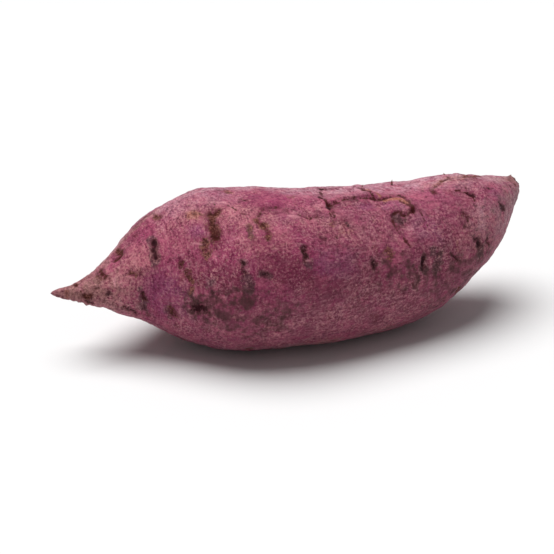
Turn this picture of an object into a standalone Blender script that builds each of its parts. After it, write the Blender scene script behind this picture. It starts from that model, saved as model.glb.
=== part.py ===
"""A whole purple sweet potato, one solid root as it grew, lying on its flatter side.

Metres, +Z up. X runs along the root from the thin tail to the stem scar, the root's front faces -Y,
and the origin is at the bottom centre of the root's box, on the surface that it rests on.

A place on the skin is given by how far it is along the root from the tail's tip, in mm, and by how far
it is round the root, in degrees: 0 is the top, 90 the front, 180 the underside and 270 the back.
"""

import math
import random

import bpy
import numpy as np

MM = 0.001

# Slices across the root, from the tail's tip to the stem scar, in mm: how far along the root, where
# the slice's middle lies (sideways, positive is away from the front, and up), its half width and its
# half height. The lowest slices reach a little below zero, where the surface cuts the flat spot.
SLICES = (
    (0.0, 0.0, 27.0, 0.0, 0.0),
    (6.0, -2.0, 27.0, 2.6, 2.5),
    (13.0, -4.0, 27.2, 5.0, 4.7),
    (21.0, -4.0, 28.4, 9.0, 8.0),
    (27.0, -3.5, 28.9, 12.8, 11.6),
    (34.0, -3.0, 30.2, 17.5, 16.8),
    (44.0, -4.0, 30.6, 24.0, 23.6),
    (53.0, -6.5, 31.0, 29.0, 28.4),
    (63.0, -9.5, 31.5, 33.0, 31.6),
    (76.0, -13.0, 31.7, 34.5, 32.4),
    (102.0, -16.0, 29.9, 33.0, 30.8),
    (124.0, -15.5, 28.9, 31.0, 29.2),
    (146.0, -14.5, 29.4, 28.5, 27.1),
    (163.0, -13.5, 33.0, 24.5, 24.0),
    (176.0, -12.0, 37.2, 20.0, 18.5),
    (186.0, -9.5, 40.4, 15.2, 13.5),
    (194.0, -6.0, 43.3, 9.9, 8.2),
    (200.0, -2.5, 45.2, 5.0, 4.0),
    (202.0, -1.0, 45.8, 0.0, 0.0),
)
SQUARENESS = 2.2  # 2 is an ellipse; a little more gives the root's fuller shoulders

# Rings of points along the root, and points in each ring.
RINGS = 78
SIDES = 74

# The gentle swelling of the whole root: height in mm, wave length along the root in mm, how many
# waves go round it, and the two waves' offsets in degrees.
SWELLS = (
    (0.55, 118.0, 2, 20.0, 65.0),
    (0.45, 61.0, 3, 140.0, 10.0),
    (0.30, 37.0, 4, 75.0, 200.0),
    (0.22, 26.0, 5, 290.0, 130.0),
)

# Hollows in the skin, where buds and side roots sat and where the root was scarred: place along and
# round, half length along the root and half width across it, and depth, in mm and degrees.
HOLLOWS = (
    (60.0, 36.0, 2.6, 7.0, 1.1),
    (38.0, 38.0, 2.2, 5.0, 1.3),
    (54.0, 52.0, 3.0, 4.5, 0.6),
    (55.0, 20.0, 4.0, 4.0, 0.5),
    (43.5, 355.0, 2.0, 3.0, 0.5),
    (47.0, 68.0, 2.2, 6.0, 0.7),
    (42.0, 108.0, 2.6, 4.0, 0.7),
    (51.5, 94.0, 4.0, 4.0, 0.6),
    (90.5, 59.0, 2.4, 3.2, 1.2),
    (77.5, 41.0, 3.2, 6.0, 0.6),
    (66.0, 66.5, 1.8, 2.6, 0.5),
    (73.5, 71.0, 1.8, 3.0, 0.5),
    (26.0, 8.0, 2.4, 3.0, 0.7),
    (30.0, 55.0, 1.8, 2.6, 0.5),
    (32.0, 90.0, 2.0, 5.5, 1.0),
    (20.0, 76.0, 1.8, 2.4, 0.5),
    (19.0, 13.0, 1.8, 2.4, 0.5),
    (135.5, 44.0, 5.5, 7.0, 1.1),
    (168.0, 80.0, 2.4, 3.4, 0.9),
    (173.5, 86.0, 1.8, 2.4, 0.6),
    (142.0, 73.0, 2.0, 3.4, 0.8),
    (163.5, 56.0, 1.8, 2.8, 0.6),
    (183.0, 66.0, 1.6, 2.4, 0.5),
    (155.0, 81.0, 2.0, 3.0, 0.6),
    (125.0, 63.0, 1.8, 2.6, 0.5),
    (118.0, 70.0, 2.0, 3.0, 0.6),
    (154.0, 12.0, 1.8, 2.6, 0.6),
    (167.0, 25.0, 4.0, 2.2, 0.5),
    (70.0, 2.0, 2.2, 3.2, 0.6),
    (109.0, 355.0, 2.0, 3.4, 0.6),
)

# Eyes on the back and the underside: they climb round the root by steps, each a little off its step.
HIDDEN_EYES = 15
FIRST_HIDDEN_EYE = 22.0
HIDDEN_EYE_STEP = 11.0
HIDDEN_FROM, HIDDEN_TO = 120.0, 340.0
EYE_TURN = 137.5
HIDDEN_EYE_DEPTHS = (0.5, 1.1)
SEED = 5

# Where the skin once split and healed to a raised seam, as places along and round, in mm and degrees.
SPLIT = ((126.5, 350), (127.5, 5), (129, 13.5), (132, 15.5), (136, 13), (139, 15), (141, 22.5), (142, 30))
HOOK = ((142, 30), (139, 34.5), (136, 33), (132.5, 34), (131.5, 39), (133, 50), (135, 58))
FOLD = ((127, 12), (118, 9.5), (109, 15), (107, 30))

# Each seam's height and half width in mm, and its path.
SEAMS = ((0.8, 1.9, SPLIT), (0.7, 1.7, HOOK), (0.45, 1.8, FOLD))

# The tail's wrinkles go round it: depth, distance from one to the next, and where they have died away.
WRINKLE_DEPTH = 0.35
WRINKLE_STEP = 4.6
WRINKLES_END = 26.0

# Near both tips the relief fades out, over the part that is thinner than this half width.
FULL_RELIEF_FROM = 9.0

SKIN_COLOUR = (0.254, 0.070, 0.107, 1.0)
SKIN_ROUGHNESS = 0.6


def smooth_through(at, values, x):
    """A smooth curve through the points (at, values), read at x: a cubic with Catmull-Rom slopes."""
    slopes = np.gradient(values, at)
    i = np.clip(np.searchsorted(at, x, side="right") - 1, 0, len(at) - 2)
    step = at[i + 1] - at[i]
    t = (x - at[i]) / step
    return (
        values[i] * (2 * t**3 - 3 * t**2 + 1)
        + slopes[i] * step * (t**3 - 2 * t**2 + t)
        + values[i + 1] * (3 * t**2 - 2 * t**3)
        + slopes[i + 1] * step * (t**3 - t**2)
    )


def slices_at(x):
    """Middle (y, z), half width and half height of the root's slices at x."""
    at, middle_y, middle_z, half_width, half_height = np.array(SLICES).T
    # The squares of the half sizes are what is smooth, so that both ends close round.
    wide = np.sqrt(np.clip(smooth_through(at, half_width**2, x), 0, None))
    high = np.sqrt(np.clip(smooth_through(at, half_height**2, x), 0, None))
    return smooth_through(at, middle_y, x), smooth_through(at, middle_z, x), wide, high


def turned_from(turn, degrees):
    """How far each turn is from the given place round the root, in radians, at most half a turn."""
    return (turn - math.radians(degrees) + math.pi) % (2 * math.pi) - math.pi


def swells(x, turn):
    """The slow waves that keep the root from being an even, turned shape."""
    relief = np.zeros(np.broadcast_shapes(x.shape, turn.shape))
    for height, length, waves, along_offset, round_offset in SWELLS:
        along = np.sin(2 * math.pi * x / length + math.radians(along_offset))
        relief += height * along * np.cos(waves * turn + math.radians(round_offset))
    return relief


def hidden_eyes():
    """Hollows for the sides that face away, placed by a rule with a seeded draw."""
    draw = random.Random(SEED)
    for i in range(HIDDEN_EYES):
        along = FIRST_HIDDEN_EYE + HIDDEN_EYE_STEP * i + draw.uniform(-3, 3)
        around = HIDDEN_FROM + (EYE_TURN * i) % (HIDDEN_TO - HIDDEN_FROM)
        yield along, around, draw.uniform(1.8, 2.6), draw.uniform(2.6, 5.0), draw.uniform(*HIDDEN_EYE_DEPTHS)


def hollows(x, turn, radius):
    relief = np.zeros(radius.shape)
    for along, around, half_length, half_width, depth in (*HOLLOWS, *hidden_eyes()):
        across = turned_from(turn, around) * radius
        relief -= depth * np.exp(-(((x - along) / half_length) ** 2) - (across / half_width) ** 2)
    return relief


def distance_to_path(x, turn, radius, path):
    """Distance over the skin, in mm, to the nearest of the path's straight stretches."""
    nearest = np.full(radius.shape, np.inf)
    for (along_a, round_a), (along_b, round_b) in zip(path, path[1:]):
        off_along, off_across = x - along_a, turned_from(turn, round_a) * radius
        step_along = along_b - along_a
        step_across = turned_from(math.radians(round_b), round_a) * radius
        share = (off_along * step_along + off_across * step_across) / (step_along**2 + step_across**2)
        share = np.clip(share, 0, 1)
        away = np.hypot(off_along - share * step_along, off_across - share * step_across)
        nearest = np.minimum(nearest, away)
    return nearest


def seams(x, turn, radius):
    relief = np.zeros(radius.shape)
    for height, half_width, path in SEAMS:
        away = distance_to_path(x, turn, radius, path)
        relief = np.maximum(relief, height * np.exp(-((away / half_width) ** 2)))
    return relief


def wrinkles(x):
    fading = np.clip(1 - x / WRINKLES_END, 0, 1)
    return -WRINKLE_DEPTH * fading * (1 - np.cos(2 * math.pi * x / WRINKLE_STEP))


def root_points():
    """The root's rings of points, tail first, then the tail's tip and the stem end's."""
    length = SLICES[-1][0]
    share = np.arange(1, RINGS)[:, None] / RINGS
    x = length * (0.5 * share + 0.25 * (1 - np.cos(math.pi * share)))  # closer rings at both ends
    turn = np.arange(SIDES)[None] / SIDES * 2 * math.pi
    middle_y, middle_z, wide, high = slices_at(x)
    radius = np.broadcast_to((wide + high) / 2, (RINGS - 1, SIDES))
    relief = swells(x, turn) + hollows(x, turn, radius) + seams(x, turn, radius)
    relief = (relief + wrinkles(x)) * np.clip(wide / FULL_RELIEF_FROM, 0, 1)
    cos, sin = np.cos(turn), np.sin(turn)
    full = (np.abs(cos) ** SQUARENESS + np.abs(sin) ** SQUARENESS) ** (-1 / SQUARENESS)
    rings = np.empty((RINGS - 1, SIDES, 3))
    rings[..., 0] = x
    rings[..., 1] = middle_y - (wide + relief) * full * sin
    rings[..., 2] = middle_z + (high + relief) * full * cos
    return np.concatenate([rings.reshape(-1, 3), [SLICES[0][:3], SLICES[-1][:3]]])


def root_faces():
    """Four-sided faces between the rings, and a fan of triangles at each tip."""
    faces = []
    for k in range(SIDES):
        beside = (k + 1) % SIDES
        last = (RINGS - 2) * SIDES
        tail_tip = (RINGS - 1) * SIDES
        faces.append((tail_tip, beside, k))
        for ring in range(0, last, SIDES):
            faces.append((ring + k, ring + beside, ring + SIDES + beside, ring + SIDES + k))
        faces.append((tail_tip + 1, last + k, last + beside))
    return faces


def skin_material():
    material = bpy.data.materials.new("purple_skin")
    material.use_nodes = True
    shader = material.node_tree.nodes["Principled BSDF"]
    shader.inputs["Base Color"].default_value = SKIN_COLOUR
    shader.inputs["Roughness"].default_value = SKIN_ROUGHNESS
    shader.inputs["Metallic"].default_value = 0.0
    return material


def sweet_potato():
    points = root_points()
    points[:, 2] = np.maximum(points[:, 2], 0)  # the small flat spot that it rests on
    low, high = points.min(axis=0), points.max(axis=0)
    points -= [(low[0] + high[0]) / 2, (low[1] + high[1]) / 2, 0]
    mesh = bpy.data.meshes.new("sweet_potato")
    mesh.from_pydata((points * MM).tolist(), [], root_faces())
    mesh.materials.append(skin_material())
    mesh.shade_smooth()
    obj = bpy.data.objects.new("sweet_potato", mesh)
    bpy.context.scene.collection.objects.link(obj)


def main():
    for obj in list(bpy.data.objects):
        bpy.data.objects.remove(obj)
    sweet_potato()


main()
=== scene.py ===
# %% [markdown]
# # A purple sweet potato
#
# The real thing is one storage root: a thin skin, pink to purple, over firm flesh. It was dug, wiped and
# laid on its flatter side, so its skin carries eyes where side roots sat, corky scars, a healed split,
# wrinkles at the tail, and some soil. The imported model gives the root's form at its real size. This
# script gives it a finer skin over that form, with relief that is real geometry, and a painted material.

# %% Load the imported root
import math
import random
from typing import NamedTuple

import bpy
import numpy as np
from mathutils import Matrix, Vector, noise
from mathutils.bvhtree import BVHTree


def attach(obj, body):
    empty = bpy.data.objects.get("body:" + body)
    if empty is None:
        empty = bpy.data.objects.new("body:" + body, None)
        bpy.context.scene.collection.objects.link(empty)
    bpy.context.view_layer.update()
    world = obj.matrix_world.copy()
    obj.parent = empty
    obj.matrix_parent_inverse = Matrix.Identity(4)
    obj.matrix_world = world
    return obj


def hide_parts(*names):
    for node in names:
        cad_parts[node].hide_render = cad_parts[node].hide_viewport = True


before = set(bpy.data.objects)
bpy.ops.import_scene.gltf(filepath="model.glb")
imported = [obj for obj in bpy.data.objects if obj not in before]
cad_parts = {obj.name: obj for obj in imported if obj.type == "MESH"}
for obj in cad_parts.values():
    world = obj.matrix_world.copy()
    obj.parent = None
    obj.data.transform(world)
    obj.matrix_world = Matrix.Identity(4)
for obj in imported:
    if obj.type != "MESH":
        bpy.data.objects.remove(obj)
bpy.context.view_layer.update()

MM = 0.001
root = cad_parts["sweet_potato"]

# %% [markdown]
# ## The camera
#
# A camera is easiest to place from what it looks at: a point on the object, a direction given by two
# angles, and a distance. The photograph looks down a little and from the tail's side. A long lens far
# away, and not a short one near by, keeps the two ends of the root in the right proportion.

# %% Look down at the root from the tail's side
LOOKED_AT = Vector((-9.5, 3.5, 23.6)) * MM
VIEW_TURN = math.radians(-20)
VIEW_HEIGHT = math.radians(25)
VIEW_DISTANCE = 0.75
LENS_MM = 120.3

toward_camera = Vector((
    math.sin(VIEW_TURN) * math.cos(VIEW_HEIGHT),
    -math.cos(VIEW_TURN) * math.cos(VIEW_HEIGHT),
    math.sin(VIEW_HEIGHT),
))
camera = bpy.data.objects.new("camera", bpy.data.cameras.new("camera"))
camera.location = LOOKED_AT + VIEW_DISTANCE * toward_camera
camera.rotation_euler = toward_camera.to_track_quat("Z", "Y").to_euler()
camera.data.lens = LENS_MM
camera.data.sensor_width = 36.0
bpy.context.scene.collection.objects.link(camera)
bpy.context.scene.camera = camera
print("the camera stands at", tuple(round(x, 3) for x in camera.location))

# %% [markdown]
# ## Floor and light
#
# The root was shot on white, under broad soft light from overhead, so its top is pale and its front
# falls off to a deep wine colour. A far light with a wide disc does that, and lights the paper evenly
# right to the picture's edge, which a lamp close by would not. A pale world fills the shaded side. The
# plain colour transform keeps white paper white.

# %% Lay the floor and hang the light
PAPER = (0.76, 0.76, 0.76)
PAPER_ROUGHNESS = 0.9
FLOOR_HALF = 6.0
FLOOR_DROP = 0.1 * MM
KEY_STRENGTH = 3.6
KEY_SPREAD = math.radians(50)
KEY_FROM = Vector((-0.12, 0.2, 1.0))
WORLD_STRENGTH = 0.22


def plain_floor(half_size, colour):
    corners = [(x * half_size, y * half_size, 0) for x, y in ((-1, -1), (1, -1), (1, 1), (-1, 1))]
    mesh = bpy.data.meshes.new("floor")
    mesh.from_pydata(corners, [], [(0, 1, 2, 3)])
    floor = bpy.data.objects.new("floor", mesh)
    floor.location.z = -FLOOR_DROP
    paper = bpy.data.materials.new("white_paper")
    paper.use_nodes = True
    paper_shader = paper.node_tree.nodes["Principled BSDF"]
    paper_shader.inputs["Base Color"].default_value = (*colour, 1)
    paper_shader.inputs["Roughness"].default_value = PAPER_ROUGHNESS
    mesh.materials.append(paper)
    bpy.context.scene.collection.objects.link(floor)


plain_floor(FLOOR_HALF, PAPER)
overhead = bpy.data.objects.new("overhead_light", bpy.data.lights.new("overhead_light", "SUN"))
overhead.data.energy = KEY_STRENGTH
overhead.data.angle = KEY_SPREAD
overhead.rotation_euler = KEY_FROM.to_track_quat("Z", "Y").to_euler()
bpy.context.scene.collection.objects.link(overhead)
world = bpy.data.worlds.new("pale_room")
world.use_nodes = True
bpy.context.scene.world = world
sky = world.node_tree.nodes["Background"]
sky.inputs["Color"].default_value = (1, 1, 1, 1)
sky.inputs["Strength"].default_value = WORLD_STRENGTH
bpy.context.scene.view_settings.view_transform = "Standard"
print("one floor and", len(bpy.data.lights), "light")

# %% [markdown]
# ## Reading the form
#
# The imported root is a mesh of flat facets, a few mm each. Fine skin needs many more points, laid in
# rings, so that each one knows how far along the root it is and how far round. A subdivision surface
# would give the points but not the two numbers, so rays are cast here, from the root's own middle line
# out to the facets. The lengths are then smoothed until no facet shows. Squares of lengths are what is
# smoothed, because those change evenly up to a round tip.

# %% Find the root's middle line
SAME_SECTION = 0.02

corners = np.array([vertex.co for vertex in root.data.vertices]) / MM
section_x = np.unique(np.round(corners[:, 0], 2))
sections = [corners[np.abs(corners[:, 0] - x) < SAME_SECTION] for x in section_x]
section_low = np.array([section.min(axis=0) for section in sections])
section_high = np.array([section.max(axis=0) for section in sections])
section_middle = (section_low + section_high)[:, 1:] / 2
section_radius = (section_high - section_low)[:, 1:].mean(axis=1) / 2
thickest = round(2 * section_radius.max(), 1)
print("the packed root has", len(sections), "sections, the thickest", thickest, "mm across")

# %% Lay rings on the root, evenly over its surface
RING_GAP = 0.65
SPOKES = 320

strides = np.hypot(np.diff(section_x), np.diff(section_radius))
over_surface = np.concatenate([[0], np.cumsum(strides)])
ring_count = int(over_surface[-1] / RING_GAP)
ring_places = (np.arange(ring_count) + 0.5) * over_surface[-1] / ring_count
ring_x = np.interp(ring_places, over_surface, section_x)
turn = np.arange(SPOKES) / SPOKES * 2 * math.pi
outward = np.stack([np.zeros(SPOKES), -np.sin(turn), np.cos(turn)], axis=1)
print(ring_count, "rings with up to", SPOKES, "points each")


# %% Cast the rays and smooth their lengths
LINE_PASSES = 12
LENGTH_PASSES = 8
SHORTEST = 0.01


def eased(field, passes):
    """The field after some passes of a small blur, along the root and round it."""
    for _ in range(passes):
        before, after = 2 * field[:1] - field[1:2], 2 * field[-1:] - field[-2:-1]
        padded = np.concatenate([before, field, after])
        field = (padded[:-2] + 2 * padded[1:-1] + padded[2:]) / 4
        field = (np.roll(field, 1, axis=1) + 2 * field + np.roll(field, -1, axis=1)) / 4
    return field


middle_line = np.stack([
    ring_x,
    np.interp(ring_x, section_x, section_middle[:, 0]),
    np.interp(ring_x, section_x, section_middle[:, 1]),
], axis=1)
for _ in range(LINE_PASSES):
    beside = middle_line[:-2, 1:] + 2 * middle_line[1:-1, 1:] + middle_line[2:, 1:]
    middle_line[1:-1, 1:] = beside / 4
facets = BVHTree.FromPolygons(corners.tolist(), [tuple(p.vertices) for p in root.data.polygons])
radius = np.array([
    [facets.ray_cast(Vector(start), Vector(direction))[3] or 0.0 for direction in outward]
    for start in middle_line
])
radius = np.sqrt(np.clip(eased(radius**2, LENGTH_PASSES), SHORTEST**2, None))
skin = middle_line[:, None, :] + radius[..., None] * outward[None]
print("the radii run from", round(radius.min(), 2), "to", round(radius.max(), 1), "mm")

# %% [markdown]
# ## Places on the skin
#
# Every mark on a root can be given by two numbers: how far along it is from the tail's tip, and how far
# round, in degrees, from the top towards the front. A mark is a path of such places and a half width.
# Soft noise shifts the places a little first, so that no mark has a ruled edge.

# %% Give each point of the skin its place
along = ring_x[:, None] - ring_x[0] + np.zeros_like(radius)
length = along[-1, 0]
girth = radius.mean(axis=1, keepdims=True)
SEED_STEP = Vector((17.3, -9.1, 5.7))


def cloudy(size, seed, octaves=2):
    """Soft noise at the skin's points, mostly from -1 to 1, in patches as big as size says, in mm."""
    offset = SEED_STEP * seed
    scaled = (skin / np.asarray(size, float)).reshape(-1, 3)
    values = [noise.fractal(Vector(point) + offset, 1.0, 2.0, octaves) for point in scaled.tolist()]
    return np.array(values).reshape(radius.shape)


WANDER = 0.5
WANDER_SIZE = 3.5
wander_along = WANDER * cloudy(WANDER_SIZE, 1)
wander_round = WANDER * cloudy(WANDER_SIZE, 2)


def distance_to(path, wander=1.0):
    """How far each point of the skin is from a path over it, in mm. A path of one place is a dot."""
    nearest = np.full(radius.shape, np.inf)
    for (along_a, round_a), (along_b, round_b) in zip(path, path[1:] or path):
        off_along = along - along_a + wander * wander_along
        off_turn = (turn - math.radians(round_a) + math.pi) % (2 * math.pi) - math.pi
        off_round = off_turn * girth + wander * wander_round
        step_along, step_round = along_b - along_a, math.radians(round_b - round_a) * girth
        size = np.maximum(step_along**2 + step_round**2, 1e-9)
        share = np.clip((off_along * step_along + off_round * step_round) / size, 0, 1)
        left_over = np.hypot(off_along - share * step_along, off_round - share * step_round)
        nearest = np.minimum(nearest, left_over)
    return nearest


def within(distance, inner, outer):
    """1 inside the inner distance, 0 beyond the outer one, and smooth between them."""
    share = np.clip((outer - distance) / (outer - inner), 0, 1)
    return share * share * (3 - 2 * share)


print("the skin is", round(length, 1), "mm long")

# %% [markdown]
# ## Eyes and scars
#
# An eye is where a side root grew: a small slit or pit that runs across the root, darker than the skin,
# often with a raised lip and a stained ring. A scar is a longer stroke of brown cork. The marks that
# tell this root from another are listed one by one, and the sides that no one picture shows get theirs by
# a rule with a seeded draw. Each mark presses the skin in and also writes masks for the paint.


# %% List the long scar on the first swelling, and the eyes above it
class Mark(NamedTuple):
    """Sizes are in mm. Dark and tan say how much of the pit's brown and of the cork's tan it has."""

    path: tuple
    half_width: float
    depth: float
    dark: float
    tan: float


def marks_of(*rows):
    """The marks of one part of the skin. A row has a path, then the four numbers in the order above."""
    return [Mark(*row) for row in rows]


SCAR_MARKS = marks_of(
    (((59.3, 21.5), (60.8, 22.5), (62.4, 21)), 1.3, 0.5, 1.1, 0.6),
    (((59.8, 23), (59.4, 29), (58.8, 35)), 1.4, 0.4, 1.1, 0.9),
    (((58.8, 34), (58.6, 39), (58.8, 43.5)), 1.6, 0.7, 1.3, 0.5),
    (((54.9, 43), (54.5, 48.5), (54.8, 54.5)), 1.6, 0.3, 0.85, 1.0),
    (((71, -8), (71.6, -4)), 1.4, 0.3, 0.5, 0.9),
    (((73.6, 9), (74.4, 11.5)), 0.9, 0.4, 0.9, 0.2),
)
print(len(SCAR_MARKS), "marks")

# %% List the slot and the eyes of the left side
LEFT_MARKS = marks_of(
    (((38.5, 27), (38.6, 32), (37.9, 38)), 0.85, 0.8, 1.2, 0.1),
    (((38.3, 41), (37.8, 47.5)), 0.75, 0.6, 1.2, 0.1),
    (((43.5, -8), (44, 1)), 1.1, 0.4, 0.9, 0.9),
    (((46.2, 57.5), (45.5, 62.5)), 0.8, 0.4, 0.85, 0.5),
    (((47.2, 67), (47.8, 73.5), (48.6, 77)), 1.0, 0.4, 0.8, 0.9),
    (((48.4, 79), (48.7, 84)), 1.1, 0.2, 0.5, 0.8),
    (((41.4, 104), (42.1, 108), (42.6, 111)), 1.2, 0.5, 0.85, 0.6),
    (((27.4, -16), (27.9, 3), (27, 10.5), (25.6, 7)), 1.1, 0.4, 1.1, 0.5),
)
print(len(LEFT_MARKS), "marks")

# %% List the pits and eyes along the front
FRONT_MARKS = marks_of(
    (((90.3, 55), (89.6, 58), (90.2, 61)), 1.2, 1.0, 1.0, 0.2),
    (((75, 33), (76.6, 38.5), (77.4, 43), (76.9, 48.5)), 1.2, 0.3, 1.0, 0.9),
    (((71.2, 38.5), (70.8, 46)), 1.2, 0.1, 0.6, 0.5),
    (((60.5, 60), (60.7, 61.5)), 0.7, 0.2, 0.6, 0.0),
    (((54.3, 17), (54.8, 19.5)), 0.6, 0.2, 0.8, 0.3),
    (((56.2, 16.5), (56.8, 21)), 0.5, 0.1, 0.6, 0.5),
    (((66, 63), (65.6, 66), (65.8, 69)), 0.8, 0.5, 0.9, 0.1),
    (((72.2, 70), (74.2, 70.5)), 0.8, 0.3, 0.8, 0.0),
    (((53.9, 81), (54.4, 83)), 0.9, 0.3, 0.7, 0.0),
    (((49.4, 99.5), (51.4, 97.5)), 1.8, 0.6, 1.2, 0.1),
    (((80.1, 56.5), (80.2, 57.5)), 0.6, 0.2, 0.5, 0.0),
    (((94.1, 7), (94.2, 17.5)), 1.5, 0.2, 0.35, 0.5),
)
print(len(FRONT_MARKS), "marks")

# %% List the chain of dark spots that crosses the top
CHAIN_MARKS = marks_of(
    (((109.2, -11.8), (110.6, -9.8)), 0.8, 0.6, 1.25, 0.0),
    (((111.6, -8), (113.1, -7.3)), 0.5, 0.2, 0.7, 0.0),
    (((105.6, 6.8), (106.4, 9.8)), 0.8, 0.5, 1.25, 0.0),
    (((108.6, -5), (108.8, -3.5)), 1.1, 0.2, 0.45, 0.5),
    (((107, 17), (106.4, 21.5)), 0.95, 0.4, 1.1, 0.0),
    (((106.2, 34), (105.6, 40)), 0.9, 0.3, 0.5, 0.3),
    (((106.3, 43), (107, 45)), 0.8, 0.2, 0.6, 0.7),
    (((104.1, 38), (104.2, 39.5)), 0.8, 0.3, 0.45, 1.0),
    (((110.5, 35.5), (111.1, 40)), 0.9, 0.4, 0.7, 0.0),
    (((98, 48), (99.1, 49)), 0.9, 0.3, 0.7, 0.0),
    (((97.6, 52), (97.8, 53)), 0.6, 0.2, 0.6, 0.0),
    (((104.7, 47), (104.8, 48.2)), 0.5, 0.2, 0.7, 0.0),
    (((113.7, 57.5), (113.9, 58)), 0.5, 0.2, 0.6, 0.0),
)
print(len(CHAIN_MARKS), "marks")

# %% List the eyes of the right side
RIGHT_MARKS = marks_of(
    (((118.1, 67.5), (118.8, 71.5)), 1.2, 0.5, 0.9, 0.1),
    (((125.2, 62), (127.4, 67)), 1.5, 0.2, 0.6, 0.9),
    (((132.5, 47.5), (133.4, 48.6)), 0.5, 0.2, 0.7, 0.0),
    (((141.3, 29.5), (141.4, 33)), 0.8, 0.3, 1.0, 0.0),
    (((140.8, 70), (140.6, 76)), 0.9, 0.9, 1.0, 0.0),
    (((139.6, 78), (140, 79.5)), 0.6, 0.3, 0.9, 0.0),
    (((147.8, 67), (147.9, 72)), 0.6, 0.2, 0.6, 0.0),
    (((148.8, 80), (149, 82)), 0.6, 0.2, 0.6, 0.0),
    (((153.9, 74.5), (155.4, 80), (156.7, 84.5)), 0.7, 0.4, 0.8, 0.2),
    (((162.4, 47), (163.4, 51), (164.2, 56)), 1.1, 0.3, 0.75, 0.3),
    (((160.8, 55), (161.8, 57.5)), 0.7, 0.3, 0.65, 0.0),
    (((161.9, 59), (164.6, 63.5)), 0.7, 0.3, 0.6, 0.2),
    (((166.4, 68.2), (168.6, 69.2)), 0.6, 0.2, 0.6, 0.0),
    (((166.4, 75.5), (167.8, 79), (168.2, 83.5)), 1.3, 0.6, 0.8, 0.0),
    (((172.7, 86), (173.1, 91.5)), 0.8, 0.5, 0.85, 0.0),
    (((181.5, 55), (183.1, 56.6)), 0.8, 0.2, 0.6, 0.0),
    (((182.8, 61), (183.1, 68.5)), 1.3, 0.3, 0.65, 0.0),
    (((179.6, 28.5), (180.3, 31)), 0.7, 0.2, 0.6, 0.0),
    (((153.6, 10.5), (154.8, 13), (153.9, 17)), 0.9, 0.4, 0.95, 0.4),
    (((150.3, 5.5), (150.8, 9.5)), 0.5, 0.2, 0.7, 0.0),
    (((165.4, -4.5), (165.8, 1)), 0.9, 0.3, 0.75, 0.5),
    (((156.8, 6.5), (159.4, 3.6), (161.2, -0.6)), 0.7, 0.2, 0.4, 0.9),
    (((172.6, -3.6), (176.2, -6.2), (180.4, -6)), 0.9, 0.3, 0.6, 0.9),
    (((168.7, 26.8), (169.4, 30.2)), 0.8, 0.5, 1.0, 0.0),
    (((170.3, 31.5), (170.5, 33)), 0.75, 0.4, 1.0, 0.0),
    (((169.3, 42.5), (169.8, 46.5)), 0.5, 0.2, 0.7, 0.0),
    (((196, 10), (195.8, 30), (196.2, 48)), 0.9, 0.3, 0.75, 0.5),
)
print(len(RIGHT_MARKS), "marks")

# %% List the tail's eyes and flakes
TAIL_MARKS = marks_of(
    (((19.3, 5), (19.8, 24.5), (20, 34)), 0.9, 0.3, 1.1, 0.4),
    (((17.8, 12), (18.4, 34.5)), 0.8, 0.2, 0.8, 0.5),
    (((28.6, 53), (30.6, 60)), 0.9, 0.3, 0.9, 0.8),
    (((32.1, 87), (32.5, 97)), 0.7, 0.6, 0.9, 0.3),
    (((32.4, 107.5), (32.7, 114)), 0.6, 0.4, 0.6, 0.0),
    (((19.9, 78.5), (20.5, 84.5)), 0.9, 0.4, 0.8, 0.0),
    (((27.6, 117.5), (29.3, 125)), 1.0, 0.4, 0.85, 0.1),
    (((26, 116), (26.1, 118)), 0.6, 0.3, 0.7, 0.2),
    (((33.2, 119.5), (34.2, 130)), 0.7, 0.2, 0.6, 0.2),
    (((11.9, 113), (14.4, 123)), 0.8, 0.4, 1.2, 0.0),
    (((11.2, 79), (12.2, 92), (13.6, 84)), 0.7, 0.3, 1.2, 0.5),
    (((9.3, -12), (9.6, 20), (10.6, 44), (10.3, 60)), 0.5, 0.3, 1.1, 0.6),
    (((8.8, 8), (11.2, 22)), 0.4, 0.2, 1.0, 0.4),
    (((15.6, 56), (16.6, 60)), 0.6, 0.2, 0.7, 0.3),
    (((5.8, 38), (5.6, 110)), 0.5, 0.2, 0.4, 0.9),
)
print(len(TAIL_MARKS), "marks")


# %% List the dark smears round the marks, and the painted shade of the slot and of the hook's hollow
class Patch(NamedTuple):
    """Full strength up to the inner distance from its path, and none beyond the outer one, in mm."""

    mask: str
    path: tuple
    inner: float
    outer: float
    strength: float


def patches_of(kind, *rows):
    """The patches of one kind. A row has a path, an inner and an outer distance, and a strength."""
    return [Patch(kind, *row) for row in rows]


DARK_SMEARS_AND_SHADE = patches_of(
    "slate_and_shade",
    # painted shade on both sides of the slot
    (((38.5, 22), (38.2, 37), (37.4, 53)), 0.8, 2.6, 1.0),
    (((31.3, 83), (32.2, 96), (32.7, 112)), 0.5, 2.2, 0.8),
    (((20.4, 68), (20.5, 84), (20.2, 101)), 0.4, 2.2, 0.5),
    (((40.8, 100), (40.9, 114)), 0.4, 2.4, 0.6),
    (((54.3, 76), (54.4, 83)), 0.5, 2.8, 0.8),
    (((66.8, 74), (67.2, 80)), 1.0, 3.6, 0.9),
    (((66.3, 62), (66.2, 70)), 0.3, 2.2, 0.6),
    (((72, 70), (74.6, 71.5)), 0.5, 2.4, 0.8),
    (((71.2, 38.5), (70.8, 46)), 0.5, 2.4, 0.5),
    (((89.5, 54), (90.5, 66)), 0.4, 2.6, 0.8),
    # painted shade in the hollow below the hook
    (((133.6, 33), (135, 37.5)), 0.8, 3.4, 1.0),
    (((145.8, 66.5), (146.1, 76)), 0.6, 3.6, 0.8),
    (((148.2, 72), (147, 82)), 0.6, 4.2, 0.8),
    (((141, 70), (140.8, 80)), 0.4, 3.0, 0.8),
    (((125.6, 62), (127.5, 68)), 0.6, 3.4, 0.6),
    (((118.2, 66), (118.8, 72)), 0.4, 2.6, 0.7),
    (((169.2, 88), (168.7, 96)), 0.5, 2.6, 0.7),
    (((48.4, 84), (48.9, 96)), 0.5, 2.4, 0.5),
)
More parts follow.
